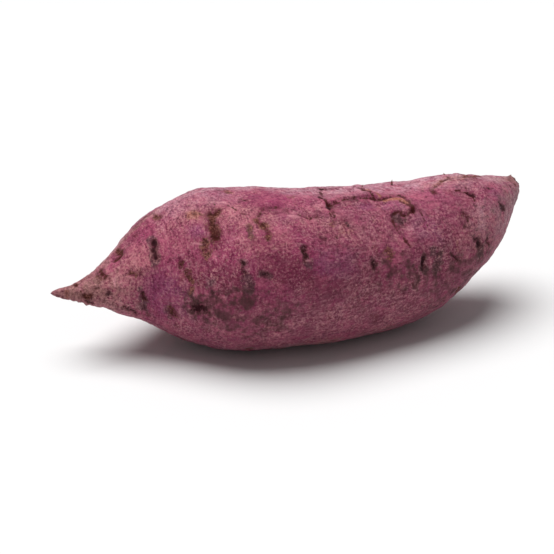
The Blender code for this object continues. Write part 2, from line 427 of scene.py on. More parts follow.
print(len(DARK_SMEARS_AND_SHADE), "smears_and_shade")

# %% Add the hidden sides' marks, spread by the golden ratio
HIDDEN_MARKS = 44
HIDDEN_FROM = 122
HIDDEN_SPAN = 210
END_GAP = 18
GOLDEN_SHARE = 0.618

marks = [*SCAR_MARKS, *LEFT_MARKS, *FRONT_MARKS, *CHAIN_MARKS, *RIGHT_MARKS, *TAIL_MARKS]
smears_and_shade = list(DARK_SMEARS_AND_SHADE)
draw = random.Random(12)
for i in range(HIDDEN_MARKS):
    place = END_GAP + (length - 2 * END_GAP) * (i + draw.random()) / HIDDEN_MARKS
    around = HIDDEN_FROM + HIDDEN_SPAN * ((GOLDEN_SHARE * i + 0.3 * draw.random()) % 1)
    reach = draw.uniform(1.0, 6.0)
    ends = ((place, around - reach), (place + draw.uniform(-0.8, 0.8), around + reach))
    dark = draw.uniform(0.5, 1.0)
    half_width, depth = draw.uniform(0.7, 1.4), draw.uniform(0.2, 0.8)
    marks.append(Mark(ends, half_width, depth, dark, draw.choice((0, 0.4, 0.9))))
    if i % 2:
        smears_and_shade.append(Patch("slate_and_shade", ends, 0.5, draw.uniform(2.2, 4.0), draw.uniform(0.4, 0.9)))
print(len(marks), "eyes and scars, and", len(smears_and_shade), "smears_and_shade")

# %% Press the marks into the skin and note where they are
MASKS = (
    "scar", "stain", "crust", "slate_and_shade", "soil_and_shade", "seam_and_shade", "ochre", "worn_and_highlight", "violet", "magenta", "wine_and_shade",
    "haze", "dull", "olive", "bloom_and_sheen",
)
PIT_FALL = 1.3
LIP_SHARE, LIP_AT, LIP_WIDTH = 0.25, 1.9, 0.6
SCAR_REACH, STAIN_REACH, CRUST_REACH = (0.2, 1.9), (0.2, 3.2), (0.3, 2.4)

masks = {name: np.zeros_like(radius) for name in MASKS}
relief = np.zeros_like(radius)


def note(name, values):
    masks[name] = np.maximum(masks[name], values)


for mark in marks:
    distance = distance_to(mark.path) / mark.half_width
    relief -= mark.depth * np.exp(-PIT_FALL * distance**2)
    relief += LIP_SHARE * mark.depth * np.exp(-(((distance - LIP_AT) / LIP_WIDTH) ** 2))
    note("scar", mark.dark * within(distance, *SCAR_REACH))
    note("stain", mark.dark * within(distance, *STAIN_REACH))
    note("crust", mark.tan * within(distance, *CRUST_REACH))
print("the deepest mark is", round(-relief.min(), 2), "mm deep")

# %% [markdown]
# ## The healed split
#
# Growing fast after rain, a root can split its skin, and the split then heals to a seam: a thin dark
# line, with a rolled, ochre lip on the side where the skin stands proud. A groove alone would look like
# a scratch, so the seam is both: the groove along the path, and the lip beside it.

# %% Draw the split and the hook below it
SPLIT = (
    (125.2, -7), (125.5, 0), (126.2, 5), (126.9, 10.5), (127.8, 14.5), (129.7, 15.8), (131.9, 15.6),
    (134.3, 13), (136.9, 11.5), (139, 12.3), (139.9, 16.3), (140.7, 21.2), (141.3, 25), (141.3, 33),
)
INNER_SPLIT = ((138.1, 18.2), (138.9, 21.2), (140, 24.5), (140.8, 27))
HOOK = (
    (141.4, 32.4), (139.7, 32.6), (137.6, 34.5), (136.4, 33.8), (135.8, 30.3), (134.7, 29.4),
    (133.1, 30.6), (131.8, 33),
)
HOOK_DROP = ((131.7, 36), (131.6, 39.4), (132, 42.2), (132.5, 45))
FAINT_DROP = ((132.5, 45), (133.2, 49), (133.9, 53))
LOW_DROP = ((133.9, 53), (134.3, 55.5))
LAST_DROP = ((135, 57), (135.5, 60.5))
print("the split has", len(SPLIT), "places and the hook", len(HOOK))

# %% Draw the fold, the chain and the fainter lines
FOLD = (
    (106.6, 18.5), (109.6, 16.1), (113.1, 12.2), (115.1, 10.6), (118.1, 10.7), (120.5, 11.8),
    (123.3, 10.8), (126, 13), (128, 15),
)
PAIR_LEFT = ((106.3, 22), (105.7, 26.4), (105.6, 30.3))
PAIR_RIGHT = ((107.5, 22.4), (106.9, 27.8), (106.6, 31.6))
CHAIN = ((109.2, -11), (107.6, 0), (106.2, 8.3), (106, 14), (106.6, 18.5))
LOW_FOLD = ((92, 28.3), (93.7, 30.5), (96, 32), (100.8, 29.5))
BRANCH = ((144, 33.6), (144.5, 38.4), (144.7, 42.1), (145.3, 46.6))
SCRATCH = ((163.6, 20), (165.7, 21.3), (167.6, 25), (169.1, 28.6), (170.3, 34), (170.4, 38))
FLAP = ((169, 17.4), (169.5, 23.5))
TOP_LINE = (
    (154.9, 9.4), (157.8, 6.1), (159.6, 3.9), (161.1, -1.1), (163.3, -1.3), (166.8, -2.6),
    (170, -2.9), (173.2, -3.8),
)
TOP_CRACK = ((173.2, -3.8), (177.4, -6.5), (180.1, -5.8))
STEP = ((66.9, 17.7), (68.6, 22.4), (70.5, 27), (72.7, 28.8))
ARCH = ((76.6, 30.4), (78.6, 23.3), (81.6, 19.9), (85.2, 19.7), (88.5, 19.4), (89.8, 25.5))
SHOULDER = ((37.2, -22.4), (40.2, -21.5), (42.8, -18))
print("the fold has", len(FOLD), "places and the chain", len(CHAIN))


# %% Open the lines and roll their lips
class Line(NamedTuple):
    """The groove's half width and depth and the lip's height are in mm."""

    path: tuple
    half_width: float
    groove: float
    step: float
    dark: float


LINES = (
    Line(SPLIT, 0.5, 0.6, 0.7, 1.0),
    Line(INNER_SPLIT, 0.6, 0.7, 0.0, 0.9),
    Line(HOOK, 0.5, 0.7, 0.5, 1.0),
    Line(HOOK_DROP, 0.75, 0.6, 0.1, 1.0),
    Line(LOW_DROP, 0.6, 0.4, 0.0, 0.95),
    Line(FAINT_DROP, 0.5, 0.3, 0.0, 0.7),
    Line(LAST_DROP, 0.5, 0.3, 0.0, 0.6),
    # the fold's dark line is partly painted shadow below its step
    Line(FOLD, 0.8, 0.7, 1.1, 0.65),
    Line(PAIR_LEFT, 0.4, 0.4, 0.0, 0.8),
    Line(PAIR_RIGHT, 0.4, 0.4, 0.0, 0.75),
    Line(CHAIN, 0.7, 0.3, 0.25, 0.65),
    Line(LOW_FOLD, 0.7, 0.4, 0.4, 0.5),
    Line(BRANCH, 0.4, 0.3, 0.1, 0.65),
    Line(SCRATCH, 0.4, 0.5, 0.1, 0.95),
    Line(FLAP, 0.6, 0.3, 0.1, 0.4),
    Line(TOP_LINE, 0.6, 0.3, 0.3, 0.4),
    Line(TOP_CRACK, 0.6, 0.3, 0.2, 0.7),
    # the step's dark line is painted shadow below its pale edge
    Line(STEP, 0.6, 0.3, 0.4, 0.65),
    # the arch's dark line is painted shade below its soft step
    Line(ARCH, 1.0, 0.45, 0.4, 0.55),
    Line(SHOULDER, 0.6, 0.3, 0.3, 0.5),
)
LINE_WANDER = 0.3
LIP_UPHILL = -5.0
ROLLED_LIP = 2.2
SEAM_REACH = 4
FAINTER = 0.35
SEAM_STAIN, SEAM_STAIN_REACH = 0.6, (0.3, 2.4)

unevenness = 0.22 * cloudy(1.8, 12)
for line in LINES:
    distance = distance_to(line.path, LINE_WANDER)
    upper_side = [(place, around + LIP_UPHILL) for place, around in line.path]
    relief -= line.groove * np.exp(-((distance / line.half_width) ** 2))
    relief += line.step * np.exp(-((distance_to(upper_side, LINE_WANDER) / ROLLED_LIP) ** 2))
    thickness = np.clip(1 - distance / (SEAM_REACH * line.half_width), 0, 1) + unevenness
    # dark seams and their stains, and, for the fold, the step and the arch, painted shadow below the step
    note("seam_and_shade", thickness - FAINTER * (1 - line.dark))
    note("stain", SEAM_STAIN * line.dark * within(distance, *SEAM_STAIN_REACH))
print(len(LINES), "lines of healed skin")

# %% [markdown]
# ## Patches of colour, soil, painted shade and the two ends
#
# The skin's colour drifts in patches as wide as a thumb: magenta where it was shaded, a tan haze where it
# rubbed, wine low on the front. Soil stays in the hollows, and shade is painted there too, and under the
# fold and low on the front, in soil, slate and wine colours. A dry, pale bloom of dust and painted sheen
# lies on top, and some pale lines on ridges are painted highlights. The tail and the stem end are
# thinner-skinned and browner, and the stem end was broken off, so it is rough cork.
# These are only masks: what they mean is decided in the material.

# %% List the patches of ochre cork, and of soil and painted shade
OCHRE_CORK = patches_of(
    "ochre",
    (((131.4, 17.2), (134.4, 16.2), (137.2, 15.2), (139.2, 18.2), (140.4, 24)), 0.35, 1.3, 1.0),
    (((126.8, 2), (127.8, 7), (129, 10), (130.4, 13.4)), 0.25, 1.1, 1.0),
    (((106.9, 23), (106.4, 27), (106.1, 30)), 0.1, 0.7, 0.4),
    (((53.6, 18), (55.1, 19.5)), 0.8, 3.8, 0.8),
    (((106.6, 44), (111.2, 43.8)), 0.4, 2.6, 0.5),
    (((157.5, 68), (157.7, 77)), 0.3, 1.6, 0.45),
    (((46, 70), (44.5, 78)), 0.4, 2.4, 0.4),
    (((166.2, 1), (169.1, 3.6), (171.3, -1)), 0.3, 1.6, 0.5),
    (((157.5, 4.5), (162, -3.2), (171, -5.4)), 0.2, 1.4, 0.45),
)
SOIL_AND_SHADE_PATCHES = patches_of(
    "soil_and_shade",
    # a band of painted shadow under the fold
    (((106.6, 18.5), (113.1, 12.6), (118.1, 11.2), (128, 15.2)), 0.2, 1.8, 0.7),
    # soil and painted shade in the hollow below the hook
    (((133.9, 33.6), (136.1, 36), (134.7, 41)), 0.5, 3.4, 0.6),
    # the next three are soil and painted shadow low on the front of the first swelling
    (((48.5, 100), (50.4, 99.5), (53.5, 96)), 1.5, 4.5, 1.0),
    (((50, 96), (56, 93), (66, 88)), 2.0, 9.0, 0.7),
    (((60, 104), (76, 100)), 4.0, 16.0, 0.45),
    (((126, 78), (141, 84), (156, 90)), 1.0, 13.0, 0.5),
    (((175.9, 52), (176.4, 69), (174.8, 80)), 1.0, 5.5, 0.4),
    (((181.5, 52), (183, 68)), 0.8, 4.0, 0.5),
    (((168, 100), (150, 110)), 4.0, 14.0, 0.4),
)
print(len(OCHRE_CORK) + len(SOIL_AND_SHADE_PATCHES), "patches")

# %% List the worn lines with painted highlights, and the bloom of dust and painted sheen
WORN_AND_HIGHLIGHT_LINES = patches_of(
    "worn_and_highlight",
    (((51.2, 44.2), (53.3, 45.5)), 0.1, 0.7, 0.75),
    (((64.3, 13.5), (66.2, 14)), 0.1, 0.8, 0.6),
    # painted highlight on the step's pale edge
    (((67.5, 18), (70.5, 23)), 0.2, 0.9, 0.3),
    # painted highlight on the small bump near the arch's end
    (((88.3, 30.7), (90.6, 31.9)), 0.2, 1.5, 0.7),
    (((22.6, 54), (22.5, 66)), 0.2, 0.6, 0.8),
    (((10.1, 20), (10.4, 50)), 0.1, 0.6, 0.8),
    (((113.9, 47), (114.6, 49.5), (115.6, 50.5)), 0.1, 0.6, 0.4),
    (((122, 44), (120.5, 47)), 0.1, 0.6, 0.4),
)
# dust on the top, and painted sheen: the top made paler where the light grazes it, and a pale line of
# painted highlight along the left rim
BLOOM_AND_SHEEN_PATCHES = patches_of(
    "bloom_and_sheen",
    (((50, -14), (60, -16), (70, -20), (100, -24)), 1.0, 10.0, 0.9),
    (((96, -16), (110, -12), (150, -14)), 3.0, 15.0, 1.0),
    (((150, -14), (185, -18)), 1.0, 16.0, 1.0),
    (((70, -60), (120, -52), (165, -60)), 2.0, 30.0, 0.5),
    (((16, -44), (22, -42), (29, -31), (38, -26), (46, -22)), 0.3, 2.4, 0.5),
    (((52, -2), (66, 2)), 2.0, 12.0, 0.5),
    (((160, 6), (176, 2)), 2.0, 10.0, 0.4),
    (((172, 62), (188, 78)), 2.0, 12.0, 0.55),
)
print(len(WORN_AND_HIGHLIGHT_LINES) + len(BLOOM_AND_SHEEN_PATCHES), "patches")

# %% List the dull, magenta and violet patches
DULL_PATCHES = patches_of(
    "dull",
    (((112, 50), (190, 60)), 8.0, 34.0, 0.7),
    (((20, 74), (30, 110)), 3.0, 12.0, 0.4),
    (((22, 128), (36, 128), (56, 124)), 2.0, 8.0, 0.6),
    (((80, 29), (104, 33)), 2.0, 9.0, 0.6),
    (((60, 118), (110, 112), (160, 118)), 8.0, 26.0, 0.8),
    (((40, 200), (170, 160)), 10.0, 30.0, 0.6),
)
MAGENTA_PATCHES = patches_of(
    "magenta",
    (((44, 50), (62, 62), (80, 62), (100, 60)), 4.0, 16.0, 0.6),
    (((40, 10), (50, 0)), 3.0, 12.0, 0.6),
    (((84, 16), (92, 14)), 2.0, 8.0, 0.5),
    (((175, 26), (177, 40)), 2.0, 7.0, 0.9),
    (((150, 16), (156, 22)), 2.0, 8.0, 0.6),
    (((70, 270), (130, 285)), 6.0, 22.0, 0.7),
)
VIOLET_PATCHES = patches_of(
    "violet",
    (((36, 80), (42, 98)), 3.0, 13.0, 0.75),
    (((98, 66), (107, 66)), 2.0, 9.0, 0.9),
    (((121.6, 20), (124.3, 19)), 1.0, 4.0, 0.8),
    (((131, 22.5), (137, 23.5)), 1.0, 4.0, 0.9),
    (((143, 44), (147, 54)), 2.0, 8.0, 0.8),
    (((182, 38), (183.5, 46)), 1.0, 5.0, 0.7),
    (((52.5, 34), (55, 38)), 1.0, 5.0, 0.7),
    (((40, 250), (90, 290)), 4.0, 22.0, 0.7),
)
print(len(DULL_PATCHES) + len(MAGENTA_PATCHES) + len(VIOLET_PATCHES), "patches")

# %% List the wine patches, with painted shadow under the fold, and the tan and olive patches
WINE_AND_SHADE_PATCHES = patches_of(
    "wine_and_shade",
    (((52, 70), (60, 76)), 3.0, 10.0, 0.8),
    (((76.8, 64), (90, 76)), 3.0, 11.0, 1.0),
    (((96, 80), (140, 90)), 3.0, 16.0, 0.8),
    (((66, 104), (110, 102), (160, 108)), 6.0, 24.0, 0.6),
    (((80, 24), (88, 23)), 1.5, 4.5, 0.7),
    # painted shadow just below the fold's step
    (((108, 20), (112, 16.5), (118, 14.5), (127, 17.5)), 0.8, 3.2, 0.9),
    (((97, 26), (104, 34)), 1.5, 6.0, 0.5),
)
TAN_HAZE = patches_of(
    "haze",
    (((56, 6), (60, 10)), 2.0, 9.0, 0.6),
    (((52, 18), (57, 20)), 2.0, 7.0, 0.9),
    (((64, 26), (76, 32)), 3.0, 11.0, 0.9),
    (((45, 24), (48, 40)), 2.0, 8.0, 0.6),
    (((68.6, 51), (81.3, 50)), 2.0, 8.0, 0.7),
    (((96, 36), (112, 46)), 2.0, 9.0, 0.7),
    (((125, 44), (134, 58)), 2.0, 9.0, 0.5),
    (((34, 40), (24, 70), (20, 90)), 3.0, 13.0, 1.0),
    (((155, 2), (170, 0)), 1.5, 7.0, 0.9),
    (((166.9, 71.5), (180, 90)), 3.0, 16.0, 0.7),
    (((120, 150), (60, 200)), 6.0, 26.0, 0.6),
)
OLIVE_PATCHES = patches_of(
    "olive",
    (((22, -38), (29, -24), (38, -19), (45, -15)), 0.6, 4.0, 0.8),
    (((189, 4), (197, 3)), 1.5, 6.0, 1.0),
    (((188, 42), (190, 64)), 0.8, 4.0, 0.6),
    (((196, 0), (196.5, 50)), 0.5, 2.6, 0.8),
    (((156, 8), (161, 0), (172, -2)), 0.5, 3.0, 0.8),
    (((168, -3), (181, -7), (187, -3)), 0.6, 3.4, 1.0),
    (((8, 30), (14, 60)), 2.0, 7.0, 0.7),
)
print(len(WINE_AND_SHADE_PATCHES) + len(TAN_HAZE) + len(OLIVE_PATCHES), "patches")

# %% Draw the patches of the hidden sides, and note them all
HIDDEN_PATCHES = 34
PATCHES_FROM = 130
PATCHES_SPAN = 190
HIDDEN_KINDS = ("wine_and_shade", "magenta", "haze", "dull", "violet", "soil_and_shade", "wine_and_shade", "haze", "olive")

patches = [
    *smears_and_shade, *OCHRE_CORK, *SOIL_AND_SHADE_PATCHES, *WORN_AND_HIGHLIGHT_LINES, *BLOOM_AND_SHEEN_PATCHES, *DULL_PATCHES, *MAGENTA_PATCHES,
    *VIOLET_PATCHES, *WINE_AND_SHADE_PATCHES, *TAN_HAZE, *OLIVE_PATCHES,
]
for i in range(HIDDEN_PATCHES):
    place = draw.uniform(24, length - 20)
    around = PATCHES_FROM + PATCHES_SPAN * ((GOLDEN_SHARE * i) % 1)
    path = ((place, around), (place + draw.uniform(4, 22), around + draw.uniform(-16, 16)))
    kind = HIDDEN_KINDS[i % len(HIDDEN_KINDS)]
    small = kind in ("soil_and_shade", "olive")
    reach = draw.uniform(4, 9) if small else draw.uniform(8, 18)
    patches.append(Patch(kind, path, 0.1 * reach, reach, draw.uniform(0.4, 0.7 if small else 1.0)))
for patch in patches:
    note(patch.mask, patch.strength * within(distance_to(patch.path), patch.inner, patch.outer))
print(len(patches), "patches in all")

# %% Note the tail, the stem end and where the fine creases run across
masks["across"] = np.maximum(within(along, 50, 95), within(length - along, 12, 34))
masks["tail"] = within(along + 6 * wander_along, 8, 40)
masks["stem"] = within(length - along + 3 * wander_along, 3, 22)
masks["stub"] = within(length - along + 0.8 * wander_along, 1.2, 3.4)
print("soil covers", round(100 * float((masks["soil_and_shade"] > 0.3).mean()), 1), "percent of the points")

# %% [markdown]
# ## The skin's own relief
#
# Between its marks the skin isn't smooth. It swells and sinks slowly, it has shallow furrows along it,
# fine creases across it that gather to wrinkles at the tail, and a faint pebbling. Each of these is one
# kind of noise, stretched along or round the root.

# %% Add the dents and swellings that show
# each has a path, its reach in mm, and its height in mm, which is below zero for a dent
SWELLINGS = (
    (((61, 22), (59.5, 34), (57, 50)), 4.0, -0.8),
    (((66.5, 24), (65, 34)), 4.0, 0.7),
    (((73, 34), (80, 30)), 5.0, -0.5),
    (((82, 25), (88, 26)), 3.0, -0.6),
    (((89.8, 32), (90.6, 33)), 2.0, 0.5),
    (((134, 37), (136, 41)), 3.0, -0.8),
    (((55, 2), (59, 8)), 5.0, 0.5),
    (((44, 30), (42, 50)), 4.0, -0.5),
    (((108, 0), (109, 14)), 3.5, -0.5),
    (((148, 25), (160, 30)), 7.0, 0.6),
    (((172, 40), (170, 60)), 5.0, -0.4),
    (((48, 66), (50, 80)), 4.0, -0.5),
    (((198, -16), (198.6, -14)), 1.8, 0.8),
    (((110, 22), (126, 20)), 2.4, -0.5),
    (((126, -11), (127.2, -9)), 1.4, 0.4),
    (((139.5, -13), (142, -11)), 1.8, 0.4),
    (((164.5, -14), (165.5, -11)), 1.5, 0.5),
    (((170.2, -15), (171.2, -12)), 1.3, 0.5),
    (((176.5, -16), (178, -13)), 1.5, 0.4),
)
for path, reach, height in SWELLINGS:
    relief += height * np.exp(-((distance_to(path) / reach) ** 2))
print(len(SWELLINGS), "dents and swellings")

# %% Add the furrows, creases and pebbling
class Texture(NamedTuple):
    height: float
    size: tuple
    seed: int
    octaves: int = 2


SKIN_TEXTURES = {
    "slow swells": Texture(0.42, (15, 15, 15), 3),
    "furrows along the root": Texture(0.22, (34, 5, 5), 4),
    "small swells": Texture(0.18, (5, 5, 5), 9),
    "creases across the root": Texture(0.10, (1.5, 9, 9), 5),
    "fine furrows": Texture(0.10, (9, 1.6, 1.6), 10),
    "pebbling": Texture(0.13, (2.2, 2.2, 2.2), 6, 3),
}
for texture in SKIN_TEXTURES.values():
    relief += texture.height * cloudy(texture.size, texture.seed, texture.octaves)
print("the skin has", ", ".join(SKIN_TEXTURES))

# %% Wrinkle the tail and roughen the cork
WRINKLE_GAP, WRINKLE_HEIGHT = 2.4, 0.6
TAIL_FURROWS = 0.3
CORK_HEIGHTS = {"scar": 0.35, "stub": 0.60, "soil_and_shade": 0.12, "crust": 0.3}

waves = np.sin(2 * math.pi * (along + 1.6 * wander_along) / WRINKLE_GAP)
relief += WRINKLE_HEIGHT * masks["tail"] * within(along, 6, 30) * (waves * cloudy((3, 6, 6), 7))
relief += TAIL_FURROWS * masks["tail"] * cloudy((7, 1.2, 1.2), 11)
relief += sum(height * masks[name] for name, height in CORK_HEIGHTS.items()) * cloudy(1.3, 8, 3)
print("the relief runs from", round(relief.min(), 2), "to", round(relief.max(), 2), "mm")

# %% Move the skin out and in along its own normals
THIN_END = 4.0

lengthwise = np.gradient(skin, axis=0)
crosswise = (np.roll(skin, -1, axis=1) - np.roll(skin, 1, axis=1)) / 2
normal = np.cross(crosswise, lengthwise)
normal /= np.maximum(np.linalg.norm(normal, axis=2, keepdims=True), 1e-9)
normal *= np.sign((normal * outward[None]).sum(axis=2).mean())
skin = skin + normal * (relief * np.clip(radius / THIN_END, 0, 1))[..., None]
skin[..., 2] = np.maximum(skin[..., 2], 0)
print("the skin's highest point is", round(skin[..., 2].max(), 1), "mm up")

# %% [markdown]
# ## Joining the points to a mesh
#
# With the same number of points in every ring, those at the tips would lie thousandths of a mm apart.
# So a ring takes every point, or every second, fourth or eighth one, whichever keeps them near the
# wanted gap. Between two rings of the same number lie quads, and where the number halves, each long
# edge meets two short ones in three triangles.


# %% Choose each ring's points
SPOKE_SHARE = 0.66


def steps_for(radii):
    """For each ring, 1, 2, 4 and so on: which points it takes. Neighbours differ by one doubling."""
    crowding = SPOKE_SHARE * RING_GAP * SPOKES / (2 * math.pi * radii)
    wanted = np.floor(np.log2(np.clip(crowding, 1, 32))).astype(int)
    for i in range(1, len(wanted)):
        wanted[i] = max(wanted[i], wanted[i - 1] - 1)
    for i in range(len(wanted) - 2, -1, -1):
        wanted[i] = max(wanted[i], wanted[i + 1] - 1)
    return 2**wanted


def strip(one, other):
    """The faces between two rings, each a list of point numbers."""
    if len(one) < len(other):
        return [face[::-1] for face in strip(other, one)]
    faces = []
    ratio = len(one) // len(other)
    for k in range(len(other)):
        near, far = other[k], other[(k + 1) % len(other)]
        start, end = one[k * ratio], one[(k * ratio + ratio) % len(one)]
        if ratio == 1:
            faces.append((start, end, far, near))
        else:
            half = one[k * ratio + 1]
            faces += [(start, half, near), (half, far, near), (half, end, far)]
    return faces


steps = steps_for(girth[:, 0])
rings, taken = [], []
for i, step in enumerate(steps):
    columns = np.arange(0, SPOKES, step)
    rings.append([len(taken) + k for k in range(len(columns))])
    taken += [(i, k) for k in columns]
rows, columns = np.array(taken).T
print(len(taken), "points in", len(rings), "rings")

# %% Build the skin's mesh, with its masks as attributes
TIP_REACH = 0.25

points = skin[rows, columns]
tips = np.stack([skin[0].mean(axis=0), skin[-1].mean(axis=0)])
tips[:, 0] += (-TIP_REACH, TIP_REACH)
faces = [face for one, other in zip(rings, rings[1:]) for face in strip(one, other)]
for ring, tip, back in ((rings[0], len(points), False), (rings[-1], len(points) + 1, True)):
    for a, b in zip(ring, ring[1:] + ring[:1]):
        faces.append((b, a, tip) if back else (a, b, tip))
mesh = bpy.data.meshes.new("skin")
mesh.from_pydata((np.concatenate([points, tips]) * MM).tolist(), [], faces)
mesh.shade_smooth()
for name, values in masks.items():
    attribute = mesh.attributes.new(name, "FLOAT", "POINT")
    at_points = np.concatenate([values[rows, columns], [values[0].mean(), values[-1].mean()]])
    attribute.data.foreach_set("value", at_points.astype(np.float32))
purple_root = bpy.data.objects.new("purple_root", mesh)
bpy.context.scene.collection.objects.link(purple_root)
print("the skin has", len(mesh.polygons), "faces")

# %% [markdown]
# ## The skin's material
#
# Real skin is never one purple. Rose and violet drift over it, a pale bloom of dust and painted sheen
# lies on top, fine tan and dark specks cover it, and every mark has its own colours. Each is one layer
# here,
# mixed over the last by a mask: either one of the attributes, or noise, or the product of both, so that
# edges break up as they do on real skin. Some layers also carry painted shade, in the hollows and under
# the fold and its steps, and painted highlights on a few ridges. All of it is procedural, so it holds at
# any distance and on every side. The helpers put their nodes in the material that was opened last.


# %% Open a material and do sums with its nodes
def open_material(name):
    """A new material with its nodes, its shader, and the place on the object that its noises read."""
    material = bpy.data.materials.new(name)
    material.use_nodes = True
    nodes = material.node_tree.nodes
    place = nodes.new("ShaderNodeTexCoord").outputs["Object"]
    return material, material.node_tree, nodes["Principled BSDF"], place


def value_or_link(socket, value):
    """Sets the socket to a value, or feeds it from another socket."""
    if isinstance(value, bpy.types.NodeSocket):
        tree.links.new(value, socket)
    else:
        socket.default_value = value


def calculate(operation, a, b=0.0, clamp=False):
    node = tree.nodes.new("ShaderNodeMath")
    node.operation = operation
    node.use_clamp = clamp
    value_or_link(node.inputs[0], a)
    value_or_link(node.inputs[1], b)
    return node.outputs[0]


def times(value, amount):
    return calculate("MULTIPLY", value, amount)


def plus(value, amount):
    return calculate("ADD", value, amount)


def swing(noise_value, amount):
    """Noise that swings about zero, by half of amount each way."""
    return times(calculate("SUBTRACT", noise_value, 0.5), amount)


skin_material, tree, shader, object_place = open_material("purple_skin")
print("the helpers put their nodes in the tree of", skin_material.name)


# %% Turn noise and masks into layers with nodes
def speckle(size_mm, detail, roughness, stretch=(1, 1, 1), seed=0.0, whorl=0.0):
    """Noise from 0 to 1 in patches of that size, drawn out along the root or round it by stretch."""
    mapping = tree.nodes.new("ShaderNodeMapping")
    mapping.inputs["Scale"].default_value = tuple(1 / (size_mm * MM * x) for x in stretch)
    mapping.inputs["Location"].default_value = (seed * 3.1, seed * -7.7, seed * 5.3)
    tree.links.new(object_place, mapping.inputs["Vector"])
    node = tree.nodes.new("ShaderNodeTexNoise")
    node.inputs["Scale"].default_value = 1.0
    node.inputs["Detail"].default_value = detail
    node.inputs["Roughness"].default_value = roughness
    node.inputs["Distortion"].default_value = whorl
    tree.links.new(mapping.outputs[0], node.inputs["Vector"])
    return node.outputs[0]


def between(value, low, high):
    """0 below low, 1 above high, and smooth between them."""
    node = tree.nodes.new("ShaderNodeMapRange")
    node.interpolation_type = "SMOOTHSTEP"
    value_or_link(node.inputs["Value"], value)
    node.inputs["From Min"].default_value = low
    node.inputs["From Max"].default_value = high
    return node.outputs[0]


def mask(name):
    node = tree.nodes.new("ShaderNodeAttribute")
    node.attribute_name = name
    return node.outputs["Fac"]


def layer(below, colour, amount):
    """The colour laid over what is below, as far as amount says."""
    node = tree.nodes.new("ShaderNodeMix")
    node.data_type = "RGBA"
    value_or_link(node.inputs["Factor"], amount)
    value_or_link(node.inputs["A"], below)
    value_or_link(node.inputs["B"], colour)
    return node.outputs["Result"]


print("noise, masks and layers can be made now")

# %% Make the noises, from the finest grain to broad drifts
fine = speckle(1.0, 4.0, 0.8)
finer = speckle(0.85, 4.0, 0.8, seed=3)
grain = speckle(2.2, 3.0, 0.6, seed=5)
clump = speckle(4.2, 2.0, 0.5, seed=6)
mottle = speckle(5.5, 3.0, 0.6, seed=7)
smudge = speckle(8.0, 3.0, 0.6, seed=8)
broad = speckle(19.0, 2.0, 0.5, seed=9)
fibre_along = speckle(1.0, 2.0, 0.6, stretch=(4, 1, 1), seed=11)
fibre_round = speckle(0.9, 2.0, 0.6, stretch=(1, 5, 5), seed=13)
whorls = speckle(2.6, 2.0, 0.55, seed=17, whorl=2.2)
pores = speckle(1.9, 3.0, 0.7, stretch=(1, 1.6, 1.6), seed=27)
specks = speckle(0.75, 2.0, 0.7, stretch=(1, 2.2, 1), seed=31)
drift = between(speckle(15.0, 3.0, 0.6, seed=19), 0.36, 0.64)
other_drift = between(speckle(12.0, 3.0, 0.6, seed=23), 0.36, 0.64)
print("the noises run from under a millimetre to two centimetres")


# %% Choose the colours
def from_screen(*colour):
    """A colour as a screen shows it, from 0 to 255, as the linear colour that a shader takes."""
    shares = [x / 255 for x in colour]
    linear = [x / 12.92 if x <= 0.04045 else ((x + 0.055) / 1.055) ** 2.4 for x in shares]
    return (*linear, 1.0)


PURPLE = from_screen(146, 56, 92)
ROSE = from_screen(176, 86, 112)
MAGENTA = from_screen(152, 48, 92)
WINE_AND_SHADE = from_screen(106, 34, 60)
VIOLET = from_screen(138, 62, 106)
HAZE = from_screen(168, 96, 106)
DULL = from_screen(126, 74, 88)
OLIVE = from_screen(132, 96, 84)
BLOOM_AND_SHEEN = from_screen(208, 164, 176)
DUST = from_screen(202, 140, 136)
PALE_GRAIN = from_screen(210, 150, 158)
DARK_GRAIN = from_screen(64, 10, 30)
END_SKIN = from_screen(142, 98, 98)
STUB = from_screen(130, 92, 86)
STAIN = from_screen(96, 36, 40)
SLATE_AND_SHADE = from_screen(78, 50, 58)
CRUST = from_screen(168, 106, 88)
CRUST_BROWN = from_screen(98, 48, 42)
CORK = from_screen(64, 26, 20)
PIT = from_screen(44, 12, 22)
CORK_CRUMB = from_screen(156, 98, 88)
SOIL_AND_SHADE = from_screen(68, 38, 38)
OCHRE = from_screen(168, 104, 82)
SEAM_AND_SHADE = from_screen(70, 22, 22)
WORN_SKIN_AND_HIGHLIGHT = from_screen(232, 160, 170)
print("the plain skin is", tuple(round(x, 3) for x in PURPLE[:3]), "and rosier where it drifts")


# %% Lay the broad colours first, and let them drift
def torn(name, low, high, grit=1.4, clumps=1.4):
    """A mask whose edge is broken up by fine noise, as far as grit says, and by coarser clumps."""
    ragged = plus(plus(swing(fine, grit), swing(grain, clumps)), swing(clump, clumps))
    return times(between(plus(mask(name), ragged), low, high), between(mask(name), 0.02, 0.2))


def lay_torn(below, rows):
    """Lays torn masks over what is below. A row has a colour, a mask, the edge and a strength."""
    for paint, name, low, high, strength in rows:
        below = layer(below, paint, times(torn(name, low, high), strength))
    return below


SKIN_DRIFTS = (
    (MAGENTA, "magenta", 0.0, 1.2, 0.8),
    # wine drifts, and the painted shadow under the fold
    (WINE_AND_SHADE, "wine_and_shade", 0.0, 1.2, 0.7),
    (VIOLET, "violet", 0.0, 1.3, 0.75),
    (HAZE, "haze", 0.0, 1.2, 0.35),
    (DULL, "dull", 0.0, 1.2, 0.6),
    (END_SKIN, "tail", 0.0, 1.0, 0.8),
    (END_SKIN, "stem", 0.2, 1.1, 0.6),
    (OLIVE, "olive", 0.1, 1.1, 0.6),
)
powder = plus(times(fine, 0.35), plus(times(grain, 0.3), times(clump, 0.35)))

